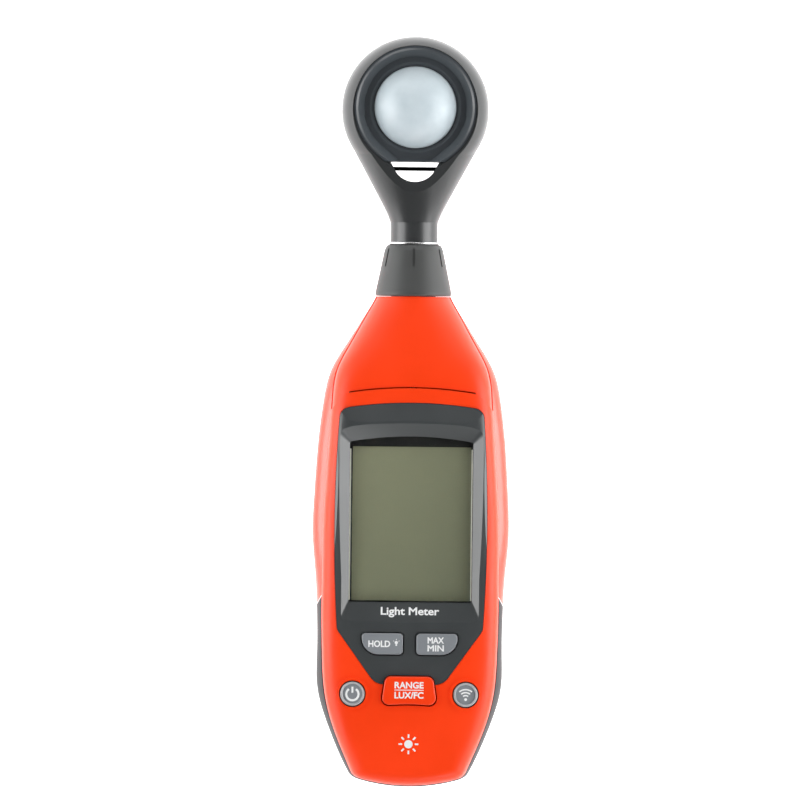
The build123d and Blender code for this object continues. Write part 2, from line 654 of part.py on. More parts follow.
def make_head_housing():
    body = head_solid()
    body += rod_y(NECK_R, NECK_BASE - 1.0, NECK_TOP + 0.5)
    body += rod_y(SPIGOT_R, 23.6, NECK_BASE)
    body += rod_y(NECK_R, COLLAR_BASE, NECK_BASE)
    body += rod_y(FLANGE_R, 23.6, 25.3) + block(-2.7, 2.7, 23.6, 25.3, SPLIT_Z, SPLIT_Z + 8.1)
    groove = rod_y(BORE_R + 1, 27.2, 28.2) - rod_y(4.8, 27, 29)
    body -= groove
    body -= rod_y(1.6, 20, 45)
    body -= tube(LEAD_ROUTE, [6.0, 8.0], 1.3)
    body -= post(0, DISH_Y, 13.4, BACK_Z + 2.0, 40)
    body -= prism(teardrop_face(0.12), RIM_Z - 3.4, 40) & block(-30, 30, SLOT_TOP_Y - 0.1, 100, 0, 60)
    body -= prism(slot_face(), 0, 60)
    mouth = loft([(Pos(0, 0, RIM_Z + 0.1) * teardrop_face()).faces()[0],
                  (Pos(0, 0, RIM_Z - 3.4) * teardrop_face(-1.6)).faces()[0]])
    body -= mouth & block(-30, 30, 50, SLOT_TOP_Y, 0, 60)
    body += Pos(0, BAR_Y, SPLIT_Z - 5.0) * Rot(0, 90, 0) * Cylinder(BAR_R, 13)
    for x, y in HEAD_SCREWS:
        body -= post(x, y, 0.95, 0, 60)
        body -= post(x, y, 1.9, 0, BACK_Z + 2.6) + post(x, y, 1.9, RIM_Z - 6.2, 60)
    return body


def make_head_cover():
    """The dished teardrop plate round the diffuser."""
    top, seat = RIM_Z - 0.15, DOME_SEAT_Z
    outline = teardrop_face(-0.03)
    plate = prism(outline, RIM_Z - 3.3, top) & block(-30, 30, SLOT_TOP_Y, 100, 0, 60)
    dish = Pos(0, DISH_Y, (top + seat + 0.4) / 2) * Cone(DOME_R + 0.6, DISH_R - 0.5, top - seat - 0.4)
    tail = loft([(Pos(0, 0, top) * teardrop_face(-0.75)).faces()[0],
                 (Pos(0, 0, seat + 0.8) * teardrop_face(-2.6)).faces()[0]])
    plate -= dish + tail
    plate -= post(0, DISH_Y, DOME_R + 0.12, 0, 60)
    plate -= post(0, DISH_Y, DOME_R + 1.15, 0, seat - 0.9)
    for x, y in HEAD_SCREWS:
        plate += post(x, y, 1.7, RIM_Z - 6.0, RIM_Z - 2.2)
        plate -= post(x, y, 0.65, 0, RIM_Z - 2.4)
    return plate


def make_dome():
    """The white diffuser: a spherical cap on a short seat with a flange."""
    sphere_r = (DOME_R ** 2 + DOME_RISE ** 2) / (2 * DOME_RISE)
    centre_z = DOME_SEAT_Z + 0.6 + DOME_RISE - sphere_r
    cap = Pos(0, DISH_Y, centre_z) * (Sphere(sphere_r) - Sphere(sphere_r - 1.2))
    cap &= post(0, DISH_Y, 12, DOME_SEAT_Z + 0.6, 60)
    seat = post(0, DISH_Y, DOME_R, DOME_SEAT_Z - 1.9, DOME_SEAT_Z + 0.6)
    seat += post(0, DISH_Y, DOME_R + 1.0, DOME_SEAT_Z - 1.9, DOME_SEAT_Z - 1.0)
    return cap + (seat - post(0, DISH_Y, DOME_R - 1.2, 0, 60))


def make_dome_retainer():
    ring = post(0, DISH_Y, 12.6, DOME_SEAT_Z - 3.2, DOME_SEAT_Z - 1.95)
    for x, y in HEAD_SCREWS:
        ring -= post(x, y, 2.1, 0, 60)
    return ring - post(0, DISH_Y, 8.4, 0, 60)


def make_filter():
    disc = post(0, DISH_Y, 8.0, DOME_SEAT_Z - 3.1, DOME_SEAT_Z - 2.0)
    return chamfer(disc.edges(), 0.15)


def make_photodiode():
    low = SPLIT_Z - 1.6
    body = block(-4.5, 4.5, DISH_Y - 4.0, DISH_Y + 4.0, low + 0.3, low + 2.6)
    body = fillet(body.edges().filter_by(Axis.Z), 0.6)
    body -= block(-3.2, 3.2, DISH_Y - 3.2, DISH_Y + 3.2, low + 2.2, 60)
    for x in (-3.0, 3.0):
        body += block(x - 0.25, x + 0.25, DISH_Y - 0.25, DISH_Y + 0.25, low - 2.0, low + 0.5)
    return body


def make_sensor_board():
    board = post(0, DISH_Y, 12.6, SPLIT_Z - 2.9, SPLIT_Z - 1.6)
    board -= post(3.0, DISH_Y, 0.5, 0, 40) + post(-3.0, DISH_Y, 0.5, 0, 40)
    for x, y in HEAD_SCREWS:
        board -= post(x, y, 1.9, 0, 60)
    return board


def make_head_lead():
    """The sensor lead from the swivel to the sensor board, round the strap slot."""
    route = [(0, SENSOR_LEAD_BREAK_Y + 0.05, SPLIT_Z)] + LEAD_ROUTE[1:3] + [(8.6, 64.6, SPLIT_Z - 0.8)]
    return tube(route, [6.0, 6.0], LEAD_R)


def make_head_screws():
    screws = []
    for x, y in HEAD_SCREWS:
        seat = BACK_Z + 2.6
        screw = post(x, y, 1.75, seat - 1.2, seat) + post(x, y, 0.65, seat, RIM_Z - 2.6)
        screws.append(screw - post(x, y, 0.6, 0, seat - 0.6))
    return screws


# --- writing -----------------------------------------------------------------

def build_nodes():
    """Every node's solids by name."""
    cavity = front_cavity()
    inside = front_block(WALL + 0.15, FACE_WALL + 0.15)
    nodes = {
        "front_shell": make_front_shell(cavity),
        "rear_shell": make_rear_shell(),
        "display_bezel": make_bezel(),
        "display_window": make_window(),
        "lcd_panel": make_lcd_panel(inside),
        "light_guide": make_light_guide(inside),
        "lcd_frame": make_lcd_frame(inside),
        "zebra_strip": make_zebra_strip(),
        "main_board": make_main_board(),
        "processor_chip": make_processor(),
        "wireless_module": make_wireless_module(),
        "keypad_mat": make_keypad_mat(),
        "board_screws": make_board_screws(),
        "case_screws": make_case_screws(),
        "battery_door": make_door(),
        "door_foam_pad": make_door_pad(),
        "battery_contacts": make_contacts(),
        "battery_springs": make_springs(),
        "battery_lead_red": battery_lead(CONTACT_TAGS[0], 1.0),
        "battery_lead_black": battery_lead(CONTACT_TAGS[1], 2.0),
        "sensor_lead_handset": make_handset_lead(),
        "sensor_lead_head": make_head_lead(),
        "swivel_collar": make_collar(),
        "neck_ring": make_neck_ring(),
        "swivel_washer": make_washer(),
        "swivel_o_ring": make_o_ring(),
        "head_housing": make_head_housing(),
        "head_cover": make_head_cover(),
        "diffuser_dome": make_dome(),
        "dome_retainer": make_dome_retainer(),
        "filter_disc": make_filter(),
        "photodiode": make_photodiode(),
        "sensor_board": make_sensor_board(),
        "head_screws": make_head_screws(),
    }
    for index in range(3):
        nodes[f"battery_cell_{index + 1}"] = make_cell(index)
    for name in KEYS:
        nodes[name] = make_key(name)
    return nodes


def write_nodes(nodes):
    """One STEP file per node."""
    os.makedirs("parts", exist_ok=True)
    for name, shape in nodes.items():
        pieces = shape if isinstance(shape, list) else [shape]
        solids = [solid for piece in pieces for solid in piece.solids()]
        export_step(solids[0] if len(solids) == 1 else Compound(children=solids), f"parts/{name}.step")


write_nodes(build_nodes())
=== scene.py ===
import json
import math
import bpy
import bmesh
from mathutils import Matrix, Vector
from mathutils.bvhtree import BVHTree


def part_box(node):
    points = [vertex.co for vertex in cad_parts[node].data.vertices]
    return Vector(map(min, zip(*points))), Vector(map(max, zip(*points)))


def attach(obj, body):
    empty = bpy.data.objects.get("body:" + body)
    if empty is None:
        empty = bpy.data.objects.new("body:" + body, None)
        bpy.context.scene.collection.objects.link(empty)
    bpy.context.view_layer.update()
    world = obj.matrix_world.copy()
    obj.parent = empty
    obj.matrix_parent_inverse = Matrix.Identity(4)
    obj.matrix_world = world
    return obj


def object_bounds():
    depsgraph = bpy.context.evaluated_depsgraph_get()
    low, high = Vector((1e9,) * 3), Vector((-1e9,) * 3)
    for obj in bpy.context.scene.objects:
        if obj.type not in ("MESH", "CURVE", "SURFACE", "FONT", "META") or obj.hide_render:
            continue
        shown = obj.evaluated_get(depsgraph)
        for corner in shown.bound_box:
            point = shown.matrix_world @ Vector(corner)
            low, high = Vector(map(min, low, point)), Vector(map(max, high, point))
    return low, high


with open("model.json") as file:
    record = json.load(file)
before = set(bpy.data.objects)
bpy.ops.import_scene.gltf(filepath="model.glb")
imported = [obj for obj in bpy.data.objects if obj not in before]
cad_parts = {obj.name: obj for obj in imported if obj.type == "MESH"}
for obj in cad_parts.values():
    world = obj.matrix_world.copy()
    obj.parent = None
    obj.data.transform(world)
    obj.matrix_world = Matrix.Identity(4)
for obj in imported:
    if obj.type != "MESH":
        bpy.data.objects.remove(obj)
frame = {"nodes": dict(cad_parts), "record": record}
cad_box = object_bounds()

NODES = frame["nodes"]
MM = 0.001
LOW, HIGH = [Vector(corner) for corner in cad_box]

# Camera: straight down at the meter, with a long lens
FIELD = 202.7 * MM          # width of the picture at the meter's height
CAMERA_HEIGHT = 4.0
CAMERA_ROLL = math.radians(0.64)
VIEW_CENTRE = (-3.1 * MM, 3.0 * MM)

# Printed marks, the display's surround and the cells; a box is x0, x1, y0, y1
TITLE_Y = -50.6 * MM
SUN_MARK_Y = -83.9 * MM
# The border is printed at the sides and foot; its wide top band above the display is painted shade under the
# brow
BORDER_OUTER = (-16.2 * MM, 16.2 * MM, -48.8 * MM, -5.6 * MM)
BORDER_INNER = (-14.85 * MM, 15.1 * MM, -47.7 * MM, -8.8 * MM)
# Painted highlight: pale glowing strips stand for light caught on the glass's cut edges at the display's
# sides
EDGE_HIGHLIGHT_X = (-15.4 * MM, 15.3 * MM)
EDGE_HIGHLIGHT_Y = (-47.6 * MM, -9.4 * MM)
BAND_LENGTH = 13 * MM       # of a battery cell's copper band
BOLDENING = 0.07 * MM       # added all round the letters' strokes
ABOVE = 0.2                 # height that rays are cast down from
DOWN = Vector((0, 0, -1))

# Colours, linear
RED = (0.96, 0.048, 0.003)
GREY_KEY = (0.215, 0.230, 0.248)
# The round keys' rims: a raised ring whose paler colour is a painted highlight
KEY_RIM_HIGHLIGHT = (0.380, 0.390, 0.400)
PANEL = (0.047, 0.052, 0.054)
HEAD = (0.030, 0.032, 0.033)
DISH = (0.046, 0.053, 0.060)
COLLAR = (0.050, 0.052, 0.051)
DOOR = (0.046, 0.048, 0.050)
LEGEND = (0.84, 0.85, 0.85)
# Colour of the glowing strips of painted highlight at the display's sides
EDGE_HIGHLIGHT = (0.62, 0.62, 0.55)

# The sky's strength low down and overhead, its share ahead and aside, and what the lights point at
SKY_HORIZON, SKY_ZENITH = 1.20, 0.12
SKY_AHEAD, SKY_ASIDE = 0.55, 1.0
LIGHT_TARGET = Vector((0, 0, 0.01))


# --- materials ---------------------------------------------------------------

def new_material(name):
    """A material with one Principled shader; returns its parts."""
    material = bpy.data.materials.new(name)
    material.use_nodes = True
    tree = material.node_tree
    tree.nodes.clear()
    output = tree.nodes.new("ShaderNodeOutputMaterial")
    shader = tree.nodes.new("ShaderNodeBsdfPrincipled")
    tree.links.new(shader.outputs["BSDF"], output.inputs["Surface"])
    return material, tree, shader


def object_point(tree):
    """The shaded point in the piece's own coordinates, in metres."""
    return tree.nodes.new("ShaderNodeTexCoord").outputs["Object"]


def noise(tree, point, scale, detail=3.0, rough=0.55):
    """Noise whose features are about `scale` metres across."""
    node = tree.nodes.new("ShaderNodeTexNoise")
    node.inputs["Scale"].default_value = 1.0 / scale
    node.inputs["Detail"].default_value = detail
    node.inputs["Roughness"].default_value = rough
    tree.links.new(point, node.inputs["Vector"])
    return node.outputs["Fac"]


def remap(tree, value, low, high, from_low=0.3, from_high=0.7):
    """Stretch a value onto low..high; the usual range is where noise mostly lies."""
    node = tree.nodes.new("ShaderNodeMapRange")
    node.inputs["From Min"].default_value = from_low
    node.inputs["From Max"].default_value = from_high
    node.inputs["To Min"].default_value = low
    node.inputs["To Max"].default_value = high
    tree.links.new(value, node.inputs["Value"])
    return node.outputs["Result"]


def blend_colour(tree, factor, first, second):
    """Mix two colours, each a tuple or a socket."""
    node = tree.nodes.new("ShaderNodeMix")
    node.data_type = "RGBA"
    tree.links.new(factor, node.inputs["Factor"])
    for socket, value in ((node.inputs["A"], first), (node.inputs["B"], second)):
        if isinstance(value, tuple):
            socket.default_value = (*value, 1.0)
        else:
            tree.links.new(value, socket)
    return node.outputs["Result"]


def add_bump(tree, shader, height, strength, distance):
    node = tree.nodes.new("ShaderNodeBump")
    node.inputs["Strength"].default_value = strength
    node.inputs["Distance"].default_value = distance
    tree.links.new(height, node.inputs["Height"])
    tree.links.new(node.outputs["Normal"], shader.inputs["Normal"])


def shade(colour, factor):
    """The colour made darker or paler by a factor."""
    return tuple(min(1.0, channel * factor) for channel in colour)


def plastic(name, colour, roughness=0.4, grain=0.35, strength=0.12, depth=0.02, spread=0.06,
            coat=0.0, ior=1.5):
    """Moulded plastic: fine spark texture, slight mottling and uneven gloss.

    grain is the texture's size and depth its height, in millimetres; spread is how far
    the mottling departs from the colour."""
    material, tree, shader = new_material(name)
    point = object_point(tree)
    broad = noise(tree, point, 14 * MM, 2.0)
    fine = noise(tree, point, grain * MM, 2.0, 0.6)
    mottling = remap(tree, broad, 0.0, 1.0)
    mottled = blend_colour(tree, mottling, shade(colour, 1 - spread), shade(colour, 1 + spread))
    tree.links.new(mottled, shader.inputs["Base Color"])
    gloss = remap(tree, broad, roughness - 0.03, roughness + 0.04)
    tree.links.new(gloss, shader.inputs["Roughness"])
    add_bump(tree, shader, fine, strength, depth * MM)
    shader.inputs["IOR"].default_value = ior
    if coat:
        shader.inputs["Coat Weight"].default_value = coat
        shader.inputs["Coat Roughness"].default_value = 0.2
    return material


def rubber(name, colour, roughness=0.6):
    """Coarser plastic with a soft sheen."""
    material = plastic(name, colour, roughness, grain=0.5, strength=0.25, depth=0.03)
    shader = material.node_tree.nodes["Principled BSDF"]
    shader.inputs["Sheen Weight"].default_value = 0.15
    shader.inputs["Sheen Roughness"].default_value = 0.5
    return material


def metal(name, colour, roughness=0.3):
    """Plated metal, finely uneven in gloss and tone."""
    material, tree, shader = new_material(name)
    point = object_point(tree)
    fine = noise(tree, point, 0.25 * MM, 4.0)
    broad = noise(tree, point, 3 * MM, 2.0)
    tone = blend_colour(tree, remap(tree, broad, 0, 1), shade(colour, 0.88), shade(colour, 1.06))
    tree.links.new(tone, shader.inputs["Base Color"])
    tree.links.new(remap(tree, fine, roughness - 0.08, roughness + 0.1), shader.inputs["Roughness"])
    shader.inputs["Metallic"].default_value = 1.0
    add_bump(tree, shader, fine, 0.1, 0.01 * MM)
    return material


def printed(name, colour):
    """Pad-printed ink: matt, a little uneven."""
    material, tree, shader = new_material(name)
    point = object_point(tree)
    speckle = noise(tree, point, 0.3 * MM, 2.0)
    ink = blend_colour(tree, remap(tree, speckle, 0, 1), shade(colour, 0.94), colour)
    tree.links.new(ink, shader.inputs["Base Color"])
    shader.inputs["Roughness"].default_value = 0.5
    return material


def window_material():
    """Clear plastic with faint smears."""
    material, tree, shader = new_material("clear_window")
    point = object_point(tree)
    smear = noise(tree, point, 9 * MM, 2.0)
    tree.links.new(remap(tree, smear, 0.015, 0.05), shader.inputs["Roughness"])
    shader.inputs["Base Color"].default_value = (0.97, 0.98, 0.96, 1)
    shader.inputs["Transmission Weight"].default_value = 1.0
    shader.inputs["IOR"].default_value = 1.2
    return material


def lcd_material():
    """The blank display: olive grey with painted shade darkening it towards its lower right, and a fine
    speckle.
    """
    material, tree, shader = new_material("lcd_glass")
    point = object_point(tree)
    split = tree.nodes.new("ShaderNodeSeparateXYZ")
    tree.links.new(point, split.inputs["Vector"])
    low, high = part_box("lcd_panel")
    across = remap(tree, split.outputs["X"], 0.0, 0.5, low[0], high[0])
    down = remap(tree, split.outputs["Y"], 0.5, 0.0, low[1], high[1])
    painted_shade = tree.nodes.new("ShaderNodeMath")
    painted_shade.operation = "ADD"
    tree.links.new(across, painted_shade.inputs[0])
    tree.links.new(down, painted_shade.inputs[1])
    # Painted shade: the olive darkens towards the lower right, as the light falls off across the flat display
    olive_with_shade = blend_colour(tree, painted_shade.outputs["Value"], (0.420, 0.428, 0.284), (0.250, 0.262, 0.178))
    speckle = noise(tree, point, 0.18 * MM, 1.0)
    speckled = blend_colour(tree, remap(tree, speckle, 0.0, 0.12), olive_with_shade, (0.1, 0.1, 0.08))
    tree.links.new(speckled, shader.inputs["Base Color"])
    shader.inputs["Roughness"].default_value = 0.32
    add_bump(tree, shader, speckle, 0.03, 0.01 * MM)
    return material


def diffuser_material():
    """Milk-white opal plastic with a faint cloudiness."""
    material, tree, shader = new_material("opal_dome")
    point = object_point(tree)
    cloud = noise(tree, point, 4 * MM, 2.0)
    opal = blend_colour(tree, remap(tree, cloud, 0, 1), (0.54, 0.62, 0.66), (0.60, 0.68, 0.72))
    tree.links.new(opal, shader.inputs["Base Color"])
    shader.inputs["Roughness"].default_value = 0.32
    shader.inputs["Subsurface Weight"].default_value = 0.35
    shader.inputs["Subsurface Radius"].default_value = (0.9, 1.0, 1.0)
    shader.inputs["Subsurface Scale"].default_value = 1.2 * MM
    add_bump(tree, shader, noise(tree, point, 0.3 * MM, 2.0), 0.06, 0.01 * MM)
    return material


def board_material():
    """Green solder mask over faint copper tracks."""
    material, tree, shader = new_material("circuit_board")
    point = object_point(tree)
    tracks = tree.nodes.new("ShaderNodeTexBrick")
    tracks.inputs["Scale"].default_value = 1.0
    tracks.inputs["Brick Width"].default_value = 4.2 * MM
    tracks.inputs["Row Height"].default_value = 1.1 * MM
    tracks.inputs["Mortar Size"].default_value = 0.16 * MM
    tree.links.new(point, tracks.inputs["Vector"])
    mask = blend_colour(tree, tracks.outputs["Fac"], (0.012, 0.105, 0.042), (0.03, 0.20, 0.075))
    tree.links.new(mask, shader.inputs["Base Color"])
    shader.inputs["Roughness"].default_value = 0.28
    add_bump(tree, shader, tracks.outputs["Fac"], 0.2, 0.03 * MM)
    return material


def cell_material():
    """A battery sleeve: dark, with a copper band at the end towards the sensor head."""
    material, tree, shader = new_material("cell_sleeve")
    point = object_point(tree)
    split = tree.nodes.new("ShaderNodeSeparateXYZ")
    tree.links.new(point, split.inputs["Vector"])
    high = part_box("battery_cell_1")[1]
    band = tree.nodes.new("ShaderNodeMath")
    band.operation = "GREATER_THAN"
    band.inputs[1].default_value = high[1] - BAND_LENGTH
    tree.links.new(split.outputs["Y"], band.inputs[0])
    speckle = noise(tree, point, 0.6 * MM, 2.0)
    dark = blend_colour(tree, remap(tree, speckle, 0, 1), (0.014, 0.016, 0.020), (0.022, 0.024, 0.030))
    sleeve = blend_colour(tree, band.outputs["Value"], dark, (0.42, 0.17, 0.06))
    tree.links.new(sleeve, shader.inputs["Base Color"])
    shader.inputs["Roughness"].default_value = 0.25
    shader.inputs["Metallic"].default_value = 0.35
    return material


def floor_material():
    """White studio sweep, lit from within so that it stays white."""
    material, tree, shader = new_material("pale_floor")
    point = object_point(tree)
    haze = noise(tree, point, 0.12, 2.0)
    white = blend_colour(tree, remap(tree, haze, 0, 1), (0.90, 0.90, 0.90), (0.93, 0.93, 0.93))
    tree.links.new(white, shader.inputs["Base Color"])
    shader.inputs["Roughness"].default_value = 0.85
    shader.inputs["Emission Color"].default_value = (1, 1, 1, 1)
    shader.inputs["Emission Strength"].default_value = 1.1
    return material


# How the moulded textures differ; grain and depth are in millimetres
SHELL_TEXTURE = {"grain": 0.30, "strength": 0.12, "depth": 0.012}
FINE_TEXTURE = {"grain": 0.25, "strength": 0.10, "depth": 0.01, "spread": 0.03}

MATERIALS = {
    "red_shell": plastic("red_shell", RED, 0.38, 0.30, strength=0.10, depth=0.012, spread=0.035, ior=1.42),
    "dark_panel": plastic("dark_panel", PANEL, 0.32, 0.28, depth=0.012, coat=0.3),
    "window": window_material(),
    "lcd": lcd_material(),
    "light_guide": plastic("light_guide", (0.85, 0.86, 0.84), 0.3),
    "white_plastic": plastic("white_plastic", (0.75, 0.75, 0.72), 0.45),
    "elastomer": rubber("elastomer", (0.03, 0.03, 0.03)),
    "circuit_board": board_material(),
    "chip": plastic("chip", (0.02, 0.02, 0.022), 0.5),
    "shield": metal("shield", (0.62, 0.62, 0.6), 0.35),
    "silicone": rubber("silicone", (0.35, 0.35, 0.36)),
    "screw_steel": metal("screw_steel", (0.55, 0.55, 0.56), 0.32),
    "nickel": metal("nickel", (0.74, 0.72, 0.67), 0.22),
    "cell_wrap": cell_material(),
    "lead_red": plastic("lead_red", (0.6, 0.03, 0.02), 0.35),
    "lead_black": plastic("lead_black", (0.02, 0.02, 0.02), 0.35),
    "lead_grey": plastic("lead_grey", (0.3, 0.3, 0.3), 0.35),
    "door_plastic": plastic("door_plastic", DOOR, 0.46, 0.4, strength=0.3, depth=0.03),
    "foam": rubber("foam", (0.05, 0.05, 0.05), 0.9),
    "grey_key": plastic("grey_key", GREY_KEY, 0.38, **FINE_TEXTURE),
    "red_key": plastic("red_key", shade(RED, 0.96), 0.34, **FINE_TEXTURE),
    "head_plastic": plastic("head_plastic", HEAD, 0.32, coat=0.35, **SHELL_TEXTURE),
    "dish_plastic": plastic("dish_plastic", DISH, 0.32, coat=0.3, **SHELL_TEXTURE),
    "diffuser": diffuser_material(),
    "black_plastic": plastic("black_plastic", (0.02, 0.02, 0.02), 0.45),
    "filter_glass": plastic("filter_glass", (0.2, 0.35, 0.25), 0.1),
    "collar_rubber": rubber("collar_rubber", COLLAR, 0.48),
    "satin_ring": metal("satin_ring", (0.72, 0.72, 0.72), 0.25),
}


def dress_nodes():
    """Give every CAD node its slot's material; the rear shell is glossier than the front."""
    for part in frame["record"]["subparts"]:
        mesh = NODES[part["node"]].data
        mesh.materials.clear()
        mesh.materials.append(MATERIALS[part["material_slot"]])
    glossy = plastic("glossy_red", RED, 0.32, 0.30, strength=0.08, depth=0.01, spread=0.03, coat=0.8)
    NODES["rear_shell"].data.materials[0] = glossy


# --- printed legends ---------------------------------------------------------

def surface_of(node):
    """A ray caster over a node's mesh."""
    mesh = NODES[node].data
    vertices = [vertex.co.copy() for vertex in mesh.vertices]
    return BVHTree.FromPolygons(vertices, [list(polygon.vertices) for polygon in mesh.polygons])


def lay_on(mesh, surface, lift=0.03 * MM, sink=0.05 * MM):
    """Lay a flat XY mesh on the surface below it, as a thin solid layer of ink.

    Its top stands lift above the surface and its underside lies sink below it."""
    work = bmesh.new()
    work.from_mesh(mesh)
    bmesh.ops.remove_doubles(work, verts=work.verts, dist=1e-6)
    for vertex in work.verts:
        hit = surface.ray_cast(Vector((vertex.co.x, vertex.co.y, ABOVE)), DOWN)[0]
        vertex.co.z = (hit.z if hit else HIGH.z) + lift
    skin = bmesh.ops.extrude_face_region(work, geom=work.faces[:])
    moved = [g for g in skin["geom"] if isinstance(g, bmesh.types.BMVert)]
    bmesh.ops.translate(work, verts=moved, vec=(0, 0, -lift - sink))
    bmesh.ops.recalc_face_normals(work, faces=work.faces)
    work.to_mesh(mesh)
    work.free()


def add_piece(name, mesh, material, body):
    """Place a mesh as a visible piece that rides on a body."""
    piece = bpy.data.objects.new(name, mesh)
    bpy.context.scene.collection.objects.link(piece)
    mesh.materials.clear()
    mesh.materials.append(material)
    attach(piece, body)


def embolden(mesh, amount):
    """Move a flat mesh's outline outwards by an even amount."""
    work = bmesh.new()
    work.from_mesh(mesh)
    bmesh.ops.remove_doubles(work, verts=work.verts, dist=1e-6)
    moves = {}
    for edge in work.edges:
        if edge.is_boundary:
            start, end = edge.verts
            side = (end.co - start.co).cross(Vector((0, 0, 1))).normalized()
            if side.dot(edge.link_faces[0].calc_center_median() - start.co) > 0:
                side.negate()
            for vertex in edge.verts:
                moves.setdefault(vertex, []).append(side)
    for vertex, sides in moves.items():
        total = sum(sides, Vector())
        vertex.co += total * amount / max(total.length_squared / 2, 0.6)
    work.to_mesh(mesh)
    work.free()


def flat_text(words, height, width):
    """Bold lettering as a flat mesh centred on the origin, fitted to a width and a height."""
    curve = bpy.data.curves.new("lettering", "FONT")
    curve.body = words
    curve.resolution_u = 4
    holder = bpy.data.objects.new("lettering", curve)
    bpy.context.scene.collection.objects.link(holder)
    bpy.context.view_layer.update()
    graph = bpy.context.evaluated_depsgraph_get()
    mesh = bpy.data.meshes.new_from_object(holder.evaluated_get(graph))
    bpy.data.objects.remove(holder)
    xs = [v.co.x for v in mesh.vertices]
    ys = [v.co.y for v in mesh.vertices]
    for vertex in mesh.vertices:
        vertex.co.x = (vertex.co.x - (min(xs) + max(xs)) / 2) * width / (max(xs) - min(xs))
        vertex.co.y = (vertex.co.y - (min(ys) + max(ys)) / 2) * height / (max(ys) - min(ys))
        vertex.co.z = 0.0
    embolden(mesh, BOLDENING)
    return mesh


def strip(points, width):
    """A flat ribbon of even width along XY points."""
    work = bmesh.new()
    rows = []
    for before, point, after in zip(points[:1] + points, points, points[1:] + points[-1:]):
        along = (Vector(after) - Vector(before)).normalized()
        side = Vector((-along.y, along.x)) * width / 2
        rows.append([work.verts.new((point[0] + s * side.x, point[1] + s * side.y, 0)) for s in (-1, 1)])
    for (a, b), (c, d) in zip(rows, rows[1:]):
        work.faces.new((a, c, d, b))
    mesh = bpy.data.meshes.new("strip")
    work.to_mesh(mesh)
    work.free()
    return mesh


def around(radius, angle):
    """The point at an angle in degrees on a circle about the origin."""
    return radius * math.cos(math.radians(angle)), radius * math.sin(math.radians(angle))


def disc(radius, count=32):
    """A flat disc about the origin."""
    work = bmesh.new()
    work.faces.new([work.verts.new((*around(radius, 360 * i / count), 0)) for i in range(count)])
    mesh = bpy.data.meshes.new("disc")
    work.to_mesh(mesh)
    work.free()
    return mesh


def arc_points(radius, start, end, count=24):
    """Points along a circle's arc, its ends' angles in degrees."""
    return [around(radius, start + (end - start) * i / count) for i in range(count + 1)]


def ray(angle, start, end, width):
    """A straight ribbon pointing away from the origin, between two distances in millimetres."""
    return strip([around(start * MM, angle), around(end * MM, angle)], width * MM)


def join_flat(meshes):
    """One mesh of several flat ones."""
    work = bmesh.new()
    for mesh in meshes:
        work.from_mesh(mesh)
    joined = bpy.data.meshes.new("legend")
    work.to_mesh(joined)
    work.free()
    return joined


def shifted(mesh, x, y):
    """The same mesh, moved in the XY plane."""
    for vertex in mesh.vertices:
        vertex.co.x += x
        vertex.co.y += y
    return mesh


def centre_of(node):
    """The middle of a node's box, seen from above."""
    low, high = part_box(node)
    return (low[0] + high[0]) / 2, (low[1] + high[1]) / 2


INK = printed("white_ink", LEGEND)


def legend(name, meshes, node, body):
    """Print flat meshes on a node."""
    mesh = join_flat(meshes)
    lay_on(mesh, surface_of(node))
    add_piece(name, mesh, INK, body)


def lamp_mark():
    """A small lamp: a round bulb on its cap, with three rays."""
    cap = strip([(0, -0.45 * MM), (0, -0.82 * MM)], 0.42 * MM)
    return [disc(0.42 * MM, 20), cap] + [ray(angle, 0.62, 0.92, 0.16) for angle in (30, 90, 150)]


def oblong_key_legends():
    """HOLD with its lamp, MAX over MIN, and RANGE over LUX/FC."""
    x, y = centre_of("hold_button")
    hold = [shifted(flat_text("HOLD", 1.55 * MM, 5.4 * MM), x - 0.75 * MM, y)]
    hold += [shifted(mesh, x + 3.55 * MM, y + 0.35 * MM) for mesh in lamp_mark()]
    legend("hold_legend", hold, "hold_button", "hold_button")
    x, y = centre_of("max_min_button")
    words = [shifted(flat_text("MAX", 1.45 * MM, 4.0 * MM), x - 0.3 * MM, y + 1.0 * MM),
             shifted(flat_text("MIN", 1.45 * MM, 4.0 * MM), x - 0.3 * MM, y - 1.0 * MM)]
    legend("max_min_legend", words, "max_min_button", "max_min_button")
    x, y = centre_of("range_button")
    words = [shifted(flat_text("RANGE", 1.55 * MM, 7.2 * MM), x, y + 1.45 * MM),
             shifted(strip([(-3.7 * MM, 0), (3.7 * MM, 0)], 0.2 * MM), x, y + 0.2 * MM),
             shifted(flat_text("LUX/FC", 1.55 * MM, 7.2 * MM), x, y - 1.1 * MM)]
    legend("range_legend", words, "range_button", "range_button")


def round_key_legends():
    """A ring and bar on the power key, and three arcs over a dot on the wireless key."""
    x, y = centre_of("power_button")
    mark = [shifted(strip(arc_points(1.55 * MM, 125, 415), 0.55 * MM), x, y - 0.1 * MM),
            shifted(strip([(0, 0.35 * MM), (0, 1.9 * MM)], 0.5 * MM), x, y - 0.1 * MM)]
    legend("power_legend", mark, "power_button", "power_button")
    x, y = centre_of("wireless_button")
    mark = [shifted(disc(0.36 * MM, 20), x, y - 1.15 * MM)]
    for radius in (1.0, 1.75, 2.5):
        mark.append(shifted(strip(arc_points(radius * MM, 50, 130, 14), 0.36 * MM), x, y - 1.15 * MM))
    legend("wireless_legend", mark, "wireless_button", "wireless_button")


def panel_legends():
    """The title under the display, and the sun mark near the foot."""
    title = flat_text("Light Meter", 2.45 * MM, 14.6 * MM)
    legend("title_legend", [shifted(title, 0, TITLE_Y)], "display_bezel", "handset")
    sun = [disc(1.05 * MM)] + [ray(45 * i, 1.6, 2.5, 0.42) for i in range(8)]
    legend("sun_mark", [shifted(mesh, 0, SUN_MARK_Y) for mesh in sun], "front_shell", "handset")


# --- display surround and key rims --------------------------------------------

